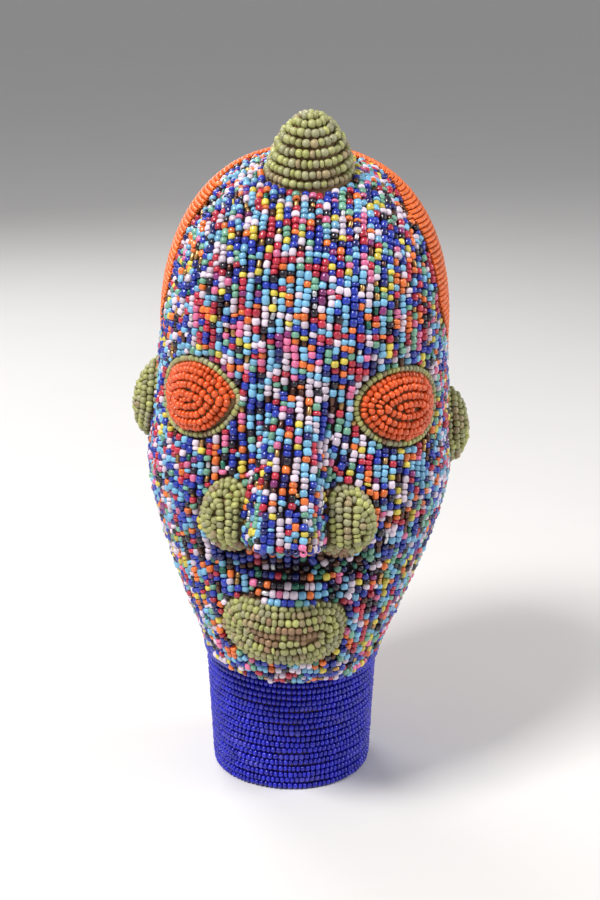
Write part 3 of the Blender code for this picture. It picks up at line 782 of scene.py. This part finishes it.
class Patch:
    """A stuffed, domed feature sewn on the head: its outline, its height and the way it faces."""

    ANGLES = 96
    RINGS = 26

    def __init__(self, name, seat, centre, facing, outline, height, radius, fullness=2.2, tilt=0.0):
        self.name, self.seat, self.outline, self.height = name, seat, outline, height
        self.radius, self.fullness = radius, fullness
        self.out = unit(np.array(facing, float))
        level = np.cross((0.0, 0.0, 1.0), self.out)
        self.right = unit(level) if np.linalg.norm(level) > 0.2 else np.array((1.0, 0.0, 0.0))
        self.up = np.cross(self.out, self.right)
        self.right, self.up = (turned(v, self.out, tilt) for v in (self.right, self.up))
        self.centre = np.array(centre, float)
        self.angles = circle(self.ANGLES)
        self.shape()

    def spot(self, angle, share, margin, rise):
        """The point at a share of the way out to the outline, grown by margin, and rise above the cloth."""
        reach = (self.outline(angle) + margin) * share
        across, up = reach * math.cos(angle), reach * math.sin(angle)
        start = self.centre + self.right * across + self.up * up + self.out * 60.0
        hit = self.seat.ray_cast(Vector(start), Vector(-self.out))[0]
        if hit is None:
            hit = self.seat.find_nearest(Vector(start - self.out * 60.0))[0]
        return np.array(hit) + self.out * rise

    def rise(self, share):
        """The height of the bead tops at a share of the way out."""
        dome = self.height * (1.0 - clamp01(share) ** self.fullness) ** (1.0 / self.fullness)
        return dome + 0.8 * (1.0 - clamp01(share) ** 8)

    def shape(self):
        """The bead tops as a fan of rings from the middle to the foot, with their outward directions."""
        shares = np.sin(np.linspace(0.0, math.pi / 2, self.RINGS + 1))
        tops = np.array([[self.spot(a, s, 0.0, self.rise(s)) for s in shares] for a in self.angles])
        for _ in range(2):
            around = np.roll(tops, 1, axis=0) + np.roll(tops, -1, axis=0)
            tops[:, 1:] = ((tops * 2 + around) / 4)[:, 1:]
        outs = unit(np.cross(np.gradient(tops, axis=1), np.roll(tops, -1, axis=0) - np.roll(tops, 1, axis=0)))
        outs[:, 0] = self.out
        outs[(outs @ self.out) < -0.3] *= -1
        outs[:, 1] = unit(outs[:, 1] + self.out)
        self.grid = np.array([tops, unit(outs)])
        steps = np.linalg.norm(np.diff(tops, axis=1), axis=2)
        self.reach = np.concatenate([np.zeros((self.ANGLES, 1)), np.cumsum(steps, axis=1)], axis=1)

    def at(self, x, y):
        """The bead top and outward direction at a place of the patch laid out flat."""
        turn = math.atan2(y, x) / (2 * math.pi) * self.ANGLES % self.ANGLES
        found = np.zeros((2, 3))
        for i, weight in ((int(turn), 1 - turn % 1), (int(turn) + 1, turn % 1)):
            i %= self.ANGLES
            k = np.interp(math.hypot(x, y), self.reach[i], np.arange(self.RINGS + 1))
            low = min(int(k), self.RINGS - 1)
            found += weight * (self.grid[:, i, low] * (1 - k + low) + self.grid[:, i, low + 1] * (k - low))
        return found[0], unit(found[1])

    def tops_at(self, places):
        """The bead tops at places of the patch laid out flat."""
        return np.array([self.at(*place)[0] for place in places])

    def covers(self, points, margin):
        """Which points lie within the outline grown by margin, near the head's surface."""
        off = points - self.centre
        across, up = off @ self.right, off @ self.up
        reach = np.array([self.outline(a) for a in np.arctan2(up, across)]) + margin
        return (np.hypot(across, up) < reach) & (abs(off @ self.out) < 40.0)

    def coil(self, pitch):
        """One string coiled in from the foot to the middle, laid out flat, row beside row."""
        m = 360
        turns = circle(m)
        reach = np.interp(turns * self.ANGLES / (2 * math.pi), np.arange(self.ANGLES + 1),
                          np.append(self.reach[:, -1], self.reach[0, -1]))
        edge = np.stack([np.cos(turns), np.sin(turns)], axis=1) * reach[:, None]
        way = np.roll(edge, -3, axis=0) - np.roll(edge, 3, axis=0)
        inside = unit(np.stack([-way[:, 1], way[:, 0]], axis=1))
        line = []
        for turn in range(40):
            depth = self.radius + (turn + np.arange(m) / m) * pitch
            row = edge + inside * depth[:, None]
            away = np.linalg.norm(row[:, None] - edge[None], axis=2).min(axis=1)
            kept = row[away > depth * 0.985 - 0.08]
            line.extend(kept)
            if len(kept) < m // 30:
                break
        return np.array(line)

    def middle_spots(self, spots, pitch):
        """The bare places that the coil leaves near its middle, laid out flat, with the room at each."""
        side = np.arange(-self.reach[:, -1].min() * 0.5, self.reach[:, -1].min() * 0.5, 0.5)
        places = np.stack([flat.ravel() for flat in np.meshgrid(side, side)], axis=1)
        tops = self.tops_at(places)
        room = np.linalg.norm(tops[:, None] - self.tops_at(spots)[None], axis=2).min(axis=1)
        return [(places[k], gap) for k, gap in barest(tops, room, 0.66 * pitch)]

    def beads(self, pitch, mean, spread, rng):
        """The beads of the coiled string, where they have room: spots, ways, outs, lengths and radii."""
        line = self.coil(pitch)
        run = run_of(self.tops_at(line))
        lengths, spots, sides = [], [], []
        at = 0.0
        while at < run[-1]:
            length = float(np.clip(rng.normal(mean, spread), mean * 0.6, mean * 1.5))
            middle = at + length / 2
            behind, flat, ahead = along([middle - 0.7, middle, middle + 0.7], run, line)
            others = np.array(spots[:-3]).reshape(-1, 2)
            if (np.linalg.norm(others - flat, axis=1) < 0.80 * pitch).any():
                at += 0.3
                continue
            lengths.append(length)
            spots.append(flat)
            sides.append((behind, ahead))
            at += length + float(rng.uniform(0.10, 0.36))
        radii = self.radius * np.clip(rng.normal(0.97, 0.05, len(spots)), 0.85, 1.08)
        for flat, room in self.middle_spots(spots, pitch):
            spots.append(flat)
            sides.append((flat - (0.0, 0.7), flat + (0.0, 0.7)))
            radii = np.append(radii, min(room - 0.38 * pitch, self.radius))
            lengths.append(radii[-1] * 1.6)
        tops, outs = (np.array(values) for values in zip(*(self.at(*flat) for flat in spots)))
        behind, ahead = (self.tops_at(flats) for flats in zip(*sides))
        ways = unit(ahead - behind)
        spots = tops - outs * self.radius
        spots = spots + np.cross(ways, outs) * rng.normal(0.0, 0.16, (len(spots), 1))
        spots = spots + outs * rng.normal(0.0, 0.14, (len(spots), 1))
        return [spots, ways, outs, np.array(lengths), radii]

    def ring(self, margin, rise):
        """A line of points round the patch's foot, with their outward directions."""
        points = np.array([self.spot(a, 1.0, margin, rise) for a in np.linspace(0.0, 2 * math.pi, 90)])
        return points, np.repeat(self.out[None], len(points), axis=0)

    def padding(self, look):
        """The stuffed pad under the beads, with a narrow hem of its cloth showing round its foot."""
        inner = (self.grid[0] - self.grid[1] * self.radius * 1.9).transpose(1, 0, 2)
        rings = list(inner[1:self.RINGS - 2])
        for margin, rise in ((-2.6, 2.2), (-1.6, 0.9), (-0.6, 0.25), (-0.3, -0.5), (-1.0, -0.9)):
            rings.append([self.spot(a, 1.0, margin, rise) for a in self.angles])
        tips = [inner[0].mean(axis=0), self.spot(0.0, 0.0, 0.0, -0.9)]
        points, faces = capped(np.array(rings), tips)
        uv = np.stack([(points - self.centre) @ self.right, (points - self.centre) @ self.up], axis=1) * MM
        return new_object(self.name + "_padding", leaned(points), faces, [look], uvs=uv)


def face_patches(seat):
    """Every raised feature by name."""
    found = {}
    for side, sign, eye_z, taper, ear_z in SIDES:
        slant = (sign * 0.5, -0.86, 0.0)
        found[side + "_eye"] = Patch(
            side + "_eye", seat, (face_middle(190.0) + sign * 44.5, -46.0, eye_z), slant,
            oval(21.8, 15.4, power=2.2, taper=-sign * taper), 9.0, 1.70, tilt=-8.0 * sign)
        found[side + "_nostril"] = Patch(
            side + "_nostril", seat, (face_middle(142.5) + sign * 26.4, -66.0, 142.5), slant,
            half_round(12.8, 17.6, -sign), 12.0, 1.78)
        found[side + "_ear"] = Patch(
            side + "_ear", seat, (sign * 67.0, 2.0, ear_z), (sign, -0.22, 0.0),
            oval(13.5, 20.0, power=1.7), 11.5, 1.70, fullness=1.9)
    found["lips"] = Patch("lips", seat, (face_middle(93.2), -72.0, 93.2), (0.0, -1.0, 0.0),
                          bean(27.8, 18.0, 5.8), 8.5, 1.80, fullness=2.4)
    found["topknot"] = Patch("topknot", seat, (-0.8, -20.5, 282.0), (0.0, -0.30, 0.95),
                             oval(20.0, 17.5), 27.0, 1.86, fullness=1.75)
    return found


# The pieces


def lay_face(head, patches, mixed, rng):
    """The face's strings of mixed beads, from the hairline to the jaw."""
    margins = {"left_eye": 2.6, "right_eye": 2.6, "lips": 0.6, "topknot": -0.6}
    paths = face_paths(head, *face_strings(head, rng))
    paths.sort(key=lambda path: np.median(path[0][:, 0]))
    for number, group in enumerate(np.array_split(np.arange(len(paths)), 5)):
        beads = Beads()
        for tops, outs in (paths[n] for n in group):
            path = tops - outs * FACE_RADIUS
            blocked = np.zeros(len(path), bool)
            for name, patch in patches.items():
                blocked |= patch.covers(path, margins.get(name, 0.3))
            off_middle = abs(path[:, 0] - face_middle(LIP_ROWS[0][0]) - LIP_ROWS_SHIFT)
            for z, half in LIP_ROWS:
                blocked |= (abs(path[:, 2] - z) < 1.8) & (off_middle < half + 0.8)
            for start, end in stretches(~blocked, 9):
                most = int((end - start) * 1.6) + 8
                spots, ways, way_out, lengths, radii, looks = mixed_string(
                    path[start:end], outs[start:end], FACE_BEADS, mixed, rng, 0.10, most)
                waver = 0.30 * np.sin(spots[:, 2:] / rng.uniform(3.0, 6.0) + rng.uniform(0.0, 6.3))
                spots = spots + np.cross(ways, way_out) * (waver + rng.normal(0.0, 0.18, (len(spots), 1)))
                spots = spots + way_out * rng.normal(0.0, 0.26, (len(spots), 1))
                # dark beads under the nose are painted shade, standing in for the nose's shadow
                beads.add(spots, ways, way_out, lengths, radii, mixed.painted_shade_under_nose(rng, looks, spots))
        beads.build(f"face_strings_{number + 1}", "mixed_beads", "face_beadwork", mixed, BIG_PROFILE, 10,
                    rng, 0.13)


def lay_back(head, orange, rng):
    """The back of the head in level rows of small orange beads."""
    levels = np.arange(0.0, head.count - 2.5, BACK_PITCH / LEVEL_STEP)
    for number, group in enumerate(np.array_split(levels, 7)):
        beads = Beads()
        for level in group:
            tops, outs = (values[ROUND_BACK] for values in head.at(level))
            wanted = (behind_hairline(tops) > -0.9) & (tops[0, 2] > neck_line(tops[:, 1]) - 1.2)
            if wanted.sum() < 6:
                continue
            path, out = (tops + outs * (0.4 - BACK_RADIUS))[wanted], outs[wanted]
            run = run_of(path)
            inside = (run > 0.1) & (run < run[-1] - 0.1)
            if inside.sum() > 4:
                beads.string(path[inside], out[inside], BACK_BEADS, orange, 0.5, rng)
        beads.build(f"back_rows_{number + 1}", "orange_beads", "back_beadwork", orange, SMALL_PROFILE, 8,
                    rng, 0.08)


def lay_jaw(head, lips, mixed, blue, rng):
    """The mixed rows round under the jaw, and the neck's blue rows that reach up behind them."""
    jaw, neck = Beads(), Beads()
    for z in np.arange(60.9, 80.0, 3.4):
        tops, outs = head.at(head.level_of(z))
        wanted = (behind_hairline(tops) < -1.0) & (z > neck_line(tops[:, 1]) + 0.9)
        wanted &= (z < string_end(tops[:, 0]) - 0.6) & ~lips.covers(tops, 0.6)
        for start, end in stretches(wanted, 6):
            path = tops[start:end] - outs[start:end] * FACE_RADIUS
            path[:, 2] += 0.5 * np.sin(np.linspace(0.0, 0.1 * len(path), len(path)) + z)
            found = mixed_string(path, outs[start:end], JAW_BEADS, mixed, rng)
            found[0] = found[0] + found[2] * rng.normal(0.0, 0.3, (len(found[0]), 1))
            jaw.add(*found)
    for z in np.arange(60.6, 71.5, NECK_PITCH):
        tops, outs = (values[ROUND_BACK] for values in head.at(head.level_of(z)))
        path = tops - outs * (NECK_RADIUS + 0.5)
        for start, end in stretches(z < neck_line(tops[:, 1]) - 0.6, 6):
            neck.string(path[start:end], outs[start:end], NECK_BEADS, blue, 0.6, rng)
    jaw.build("jaw_rows", "mixed_beads", "jaw_strings", mixed, BIG_PROFILE, 10, rng, 0.14)
    neck.build("neck_top_rows", "blue_beads", "neck_beadwork", blue, SMALL_PROFILE, 8, rng)


def lay_lip_rows(head, mixed, rng):
    """The level strings in the dip of the lips' upper edge."""
    beads = Beads()
    for z, half in LIP_ROWS:
        tops, outs = head.at(head.level_of(z))
        wanted = (abs(tops[:, 0] - face_middle(z) - LIP_ROWS_SHIFT) < half) & (tops[:, 1] < 0.0)
        path = tops[wanted] - outs[wanted] * FACE_RADIUS * 0.9
        *found, looks = mixed_string(path, outs[wanted], LIP_BEADS, mixed, rng)
        # dark beads under the nose are painted shade, standing in for the nose's shadow
        beads.add(*found, mixed.painted_shade_under_nose(rng, looks, found[0]))
    beads.build("lip_row_strings", "mixed_beads", "lip_rows", mixed, BIG_PROFILE, 12, rng)


def fill_gaps(head, patches, mixed, rng):
    """Single mixed beads, sewn wherever the strings leave the face's cloth bare, sized to the gap."""
    last = int(head.level_of(61.0))
    tops, outs = (grid[1:last, 1:].reshape(-1, 3) for grid in (head.points, head.outs))
    edge = np.array([hairline(x, z) for x, _, z in tops])
    bare = (tops[:, 1] < edge - 1.2) & (tops[:, 2] > neck_line(tops[:, 1]) + 1.5)
    for name, patch in patches.items():
        bare &= ~patch.covers(tops, 1.5 if name.endswith("eye") else 0.2)
    spots, outs = (tops - outs * FACE_RADIUS)[bare], outs[bare]
    laid = np.concatenate(Beads.laid)
    tree = KDTree(len(laid))
    for i, spot in enumerate(laid):
        tree.insert(spot, i)
    tree.balance()
    room = np.array([tree.find(spot)[2] for spot in spots])
    picked, gaps = zip(*barest(spots, room, LEAST_GAP))
    spots, outs = spots[list(picked)], outs[list(picked)]
    radii = np.clip(np.array(gaps) - 1.3, 1.1, FACE_RADIUS)
    ways = np.array((0.0, 0.0, -1.0)) + outs * outs[:, 2:]
    ways = unit(ways + rng.normal(0.0, 0.25, ways.shape))
    beads = Beads()
    # dark beads under the nose are painted shade, standing in for the nose's shadow
    looks = mixed.painted_shade_under_nose(rng, mixed.draw(rng, len(picked), 0.0)[1], spots)
    beads.add(spots, ways, outs, radii * 1.55, radii, looks)
    beads.build("gap_beads", "mixed_beads", "face_beadwork", mixed, BIG_PROFILE, 10, rng)


def lay_patches(patches, green, orange, tan_cloth, rng):
    """The beads of each raised feature, coiled over its pad, and the rings round the eyes."""
    for name, patch in patches.items():
        kind = name.split("_")[-1]
        palette, slot = (orange, "orange_beads") if kind == "eye" else (green, "green_beads")
        found = patch.beads(*COILS[kind], rng)
        looks = palette.draw(rng, len(found[0]), 0.15)[1]
        if kind == "lips":
            across, up = (found[0] - patch.centre) @ patch.right, (found[0] - patch.centre) @ patch.up
            parting = bell(up - 0.05 * across + 1.0, 3.0) * ease((19.0 - abs(across)) / 6.0)
            found[0] = found[0] - found[2] * (parting * 1.6)[:, None]
            looks = palette.browned(rng, looks, parting * 0.95)
        if kind == "nostril":
            low = clamp01((patch.centre[2] - 6.0 - found[0][:, 2]) / 9.0)
            looks = palette.browned(rng, looks, low * 0.8)
        beads = Beads()
        beads.add(*found, looks)
        beads.build(name + "_beads", slot, name + "_beadwork", palette, ROUND_PROFILE, 12, rng, 0.13)
        settle(patch.padding(tan_cloth), name + "_pad")
        if kind == "eye":
            edging = Beads()
            edging.string(*patch.ring(EDGING_RADIUS - 0.7, EDGING_RADIUS), EDGING_BEADS, green, 0.15, rng)
            edging.build(name + "_edging_beads", "green_beads", name + "_edging", green, BIG_PROFILE,
                         12, rng)


def neck_radius(z):
    """The neck's outer radius at height z."""
    return NECK_FOOT_RADIUS + (NECK_TOP_RADIUS - NECK_FOOT_RADIUS) * z / NECK_TOP


def upright(points):
    """Points of the neck in millimetres, in metres."""
    return points * MM


def neck_ring(z, inset, steps=240):
    """Points round the neck, tipped with the head towards its top, and rounded in at its foot."""
    angle = 2 * math.pi * np.arange(steps + 1) / steps
    tuck = 3.0 * (1.0 - math.sqrt(max(0.0, 1.0 - (1.0 - min(z, 3.0) / 3.0) ** 2)))
    radius = neck_radius(z) - inset - tuck * 0.6
    x, y = radius * np.cos(angle), radius * np.sin(angle)
    drop = x * math.tan(math.radians(LEAN_DEGREES)) * (z / NECK_TOP) ** 2
    outs = np.stack([np.cos(angle), np.sin(angle), np.zeros_like(angle)], axis=1)
    return np.stack([x, y, z - drop], axis=1), outs


def lay_neck(blue, tan_cloth, rng):
    """The neck's rows of blue beads, and the cloth under them."""
    beads = Beads()
    rows = round((NECK_TOP - 3.0) / NECK_PITCH)
    for k in range(rows + 1):
        path, outs = neck_ring(1.7 + (NECK_TOP - 3.0) * k / rows, NECK_RADIUS)
        turn = int(rng.integers(0, len(path) - 1))
        path, outs = (np.concatenate([p[turn:-1], p[:turn + 1]]) for p in (path, outs))
        path[:, 2] += 0.22 * np.sin(np.linspace(0, 25.1, len(path)) + k)
        spots, *found = strung(path, outs, NECK_BEADS, rng)
        spots = spots + found[1] * rng.normal(0.0, 0.07, (len(spots), 1))
        beads.add(spots, *found, blue.draw(rng, len(spots), 0.6)[1])
    beads.build("neck_rows", "blue_beads", "neck_beadwork", blue, SMALL_PROFILE, 8, rng, 0.05, upright)
    heights = np.linspace(1.9, NECK_TOP - 0.4, 40)
    outer, inner = (np.array([neck_ring(z, NECK_RADIUS * 1.86 + depth, 180)[0][:-1] for z in heights])
                    for depth in (0.0, CLOTH_THICKNESS))
    piece = shell("neck_wrap", outer, inner, tan_cloth, True, place=upright)
    settle(piece, "neck_cloth")


def lay_head_cloth(head, dark_cloth, panel_cloth):
    """The dark cloth over the whole head, and the second cloth that lifts the back's beadwork."""
    levels = np.append(np.arange(2, head.count - 3, 3), head.count - 2)
    tops, outs = (grid[levels][:, :-1:3] for grid in (head.points, head.outs))
    depth = FACE_RADIUS * 1.93
    piece = shell("head_wrap", tops - outs * depth, tops - outs * (depth + CLOTH_THICKNESS), dark_cloth, True)
    settle(piece, "head_cloth")
    outer, inner = [], []
    for level in levels:
        tops = head.points[level]
        order = ROUND_BACK[behind_hairline(tops)[ROUND_BACK] > 1.0]
        run = run_of(tops[order])
        spots = np.linspace(0.0, run[-1], 150)
        top, out = along(spots, run, tops[order]), unit(along(spots, run, head.outs[level][order]))
        outer.append(top - out * (BACK_RADIUS * 1.9 - 0.4))
        inner.append(top - out * (depth - 0.1))
    piece = shell("back_panel", np.array(outer), np.array(inner), panel_cloth, False)
    settle(piece, "back_panel_cloth")


def lay_core(head, look):
    """The carved head and neck under the cloth."""
    levels = np.append(np.arange(4, head.count - 4, 6), head.count - 2)
    tops, outs = (grid[levels][:, :-1:6] for grid in (head.points, head.outs))
    rings = [leaned(ring) for ring in tops - outs * CORE_DEPTH]
    spin = head.turns[:-1:6]
    for z in (NECK_TOP - 1.0, NECK_TOP / 2, 2.1):
        radius = neck_radius(z) - CORE_DEPTH
        rings.append(np.stack([radius * np.sin(spin), -radius * np.cos(spin), np.full_like(spin, z)], 1) * MM)
    points, faces = capped(np.array(rings), [rings[0].mean(axis=0), rings[-1].mean(axis=0)])
    settle(new_object("carved_core", points, faces, [look]), "wood_core")


def foot_disc(felt):
    """The felt disc that the neck stands on, with a softened edge."""
    low, high = (corner * 1000.0 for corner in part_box("base_disc"))
    radius = (high.x - low.x) / 2
    profile = ((low.z, radius - 0.5), (low.z + 0.4, radius), (high.z - 0.4, radius), (high.z, radius - 0.5),
               (high.z, 0.01), (low.z, 0.01))
    points, faces = lathe(profile, 120)
    points = points[:, [1, 2, 0]]
    piece = new_object("foot_felt", upright(points), faces, [felt], uvs=points[:, :2] * MM)
    settle(piece, "base_disc")


# The studio


def add_area(name, spot, aim, size, power, colour=(1.0, 1.0, 1.0)):
    """A soft square lamp at spot, turned to aim."""
    lamp = bpy.data.lights.new(name, "AREA")
    lamp.size = size
    lamp.energy = power
    lamp.color = colour
    made = bpy.data.objects.new(name, lamp)
    made.location = spot
    made.rotation_euler = (Vector(aim) - Vector(spot)).to_track_quat("-Z", "Y").to_euler()
    bpy.context.scene.collection.objects.link(made)


def studio():
    """The camera, the lamps, the pale floor and the pale surroundings."""
    scene = bpy.context.scene
    lens = bpy.data.cameras.new("camera")
    lens.sensor_width = 36.0
    lens.lens = 64.0
    lens.clip_end = 60.0
    camera = bpy.data.objects.new("camera", lens)
    camera.location = (0.0, -0.70, 0.372)
    camera.rotation_euler = (math.radians(90.0 - 17.3), 0.0, math.radians(-0.34))
    scene.collection.objects.link(camera)
    scene.camera = camera

    look, tree, surface = new_material("pale_floor", {"Roughness": 0.55})
    add_tones(tree, surface, add_noise(tree, "Object", 9.0, 5.0), (0.74, 0.73, 0.72), (0.78, 0.77, 0.76))
    angle = circle(64)
    rim = np.stack([14.0 * np.cos(angle), 14.0 * np.sin(angle), 0.0 * angle], axis=1)
    i = np.arange(64)
    faces = np.stack([i, (i + 1) % 64, np.full(64, 64)], axis=1)
    new_object("floor", np.concatenate([rim, [[0.0, 0.0, 0.0]]]), faces, [look])

    scene.world = bpy.data.worlds.new("surroundings")
    scene.world.use_nodes = True
    glow = scene.world.node_tree.nodes["Background"]
    glow.inputs["Color"].default_value = (0.93, 0.93, 0.95, 1.0)
    glow.inputs["Strength"].default_value = 0.34
    middle = (0.0, 0.0, 0.17)
    add_area("key", (-0.60, -0.55, 1.35), middle, 0.40, 23.0, (1.0, 0.98, 0.95))
    add_area("fill", (1.15, -0.45, 0.65), middle, 0.9, 3.0, (0.96, 0.98, 1.0))
    add_area("side", (1.20, 0.10, 0.60), middle, 0.5, 5.0)
    add_area("back", (-0.5, 1.0, 0.9), middle, 0.7, 7.0)
    scene.view_settings.view_transform = "Standard"


def main():
    """Every piece, from the face's strings to the studio."""
    rng = np.random.default_rng(SEED)
    head = Head()
    mixed = Palette("mixed", (
        ("cobalt", (38, 56, 164), 0.165),
        ("navy", (30, 34, 104), 0.045),
        ("sky", (118, 178, 214), 0.175),
        ("pearl", (216, 200, 216), 0.13),
        ("red", (184, 44, 66), 0.105),
        ("orange", (232, 116, 52), 0.07),
        ("yellow", (218, 198, 76), 0.055),
        ("mint", (112, 166, 142), 0.075),
        ("black", (34, 28, 42), 0.055),
        ("green_lined", (44, 112, 92), 0.025, 0.3, 0.66),
        ("pink", (222, 112, 156), 0.035),
        ("plum", (128, 48, 108), 0.015),
        ("gold_lined", (180, 140, 84), 0.04, 0.7, 0.62),
        ("silver_lined", (205, 205, 210), 0.02, 0.65, 0.60),
        ("bronze", (92, 58, 46), 0.035, 0.55, 0.66),
    ), (0.84, 1.0, 1.15), 0.24, 0.35)
    green = Palette("green", (
        ("olive", (158, 158, 104), 0.50),
        ("lime", (172, 174, 104), 0.22),
        ("grey", (154, 152, 116), 0.18),
        ("tan", (158, 142, 106), 0.10),
        ("brown", (142, 112, 84), 0.004),
    ), (0.86, 1.0, 1.12), 0.40, 0.12)
    eyes = Palette("eye", (("orange", (228, 92, 36), 1.0),), (0.80, 0.92, 1.04), 0.28, 0.35)
    orange = Palette("back", (("orange", (240, 112, 36), 1.0),), (0.8, 0.92, 1.04, 1.14), 0.32, 0.25)
    blue = Palette("neck", (("ultramarine", (28, 30, 180), 0.93), ("violet", (58, 56, 186), 0.07)),
                   (0.78, 0.92, 1.04, 1.16), 0.30, 0.2)
    tan_cloth = cloth("tan_weave", (122, 92, 62), (176, 144, 104), 0.0006)

    seat_points = (head.points - head.outs * SEAT_DEPTH)[::2, ::2]
    seat_faces = grid_faces(*seat_points.shape[:2], False)
    patches = face_patches(BVHTree.FromPolygons(seat_points.reshape(-1, 3).tolist(), seat_faces.tolist()))
    lay_face(head, patches, mixed, rng)
    lay_jaw(head, patches["lips"], mixed, blue, rng)
    lay_lip_rows(head, mixed, rng)
    lay_patches(patches, green, eyes, tan_cloth, rng)
    lay_back(head, orange, rng)
    fill_gaps(head, patches, mixed, rng)
    lay_neck(blue, tan_cloth, rng)
    lay_head_cloth(head, cloth("dark_weave", (46, 26, 36), (84, 54, 64), 0.0006),
                   cloth("panel_weave", (96, 44, 24), (150, 76, 44), 0.0006))
    foot_disc(cloth("felt", (30, 20, 22), (54, 40, 40), 0.0009))
    lay_core(head, wood())
    studio()


main()
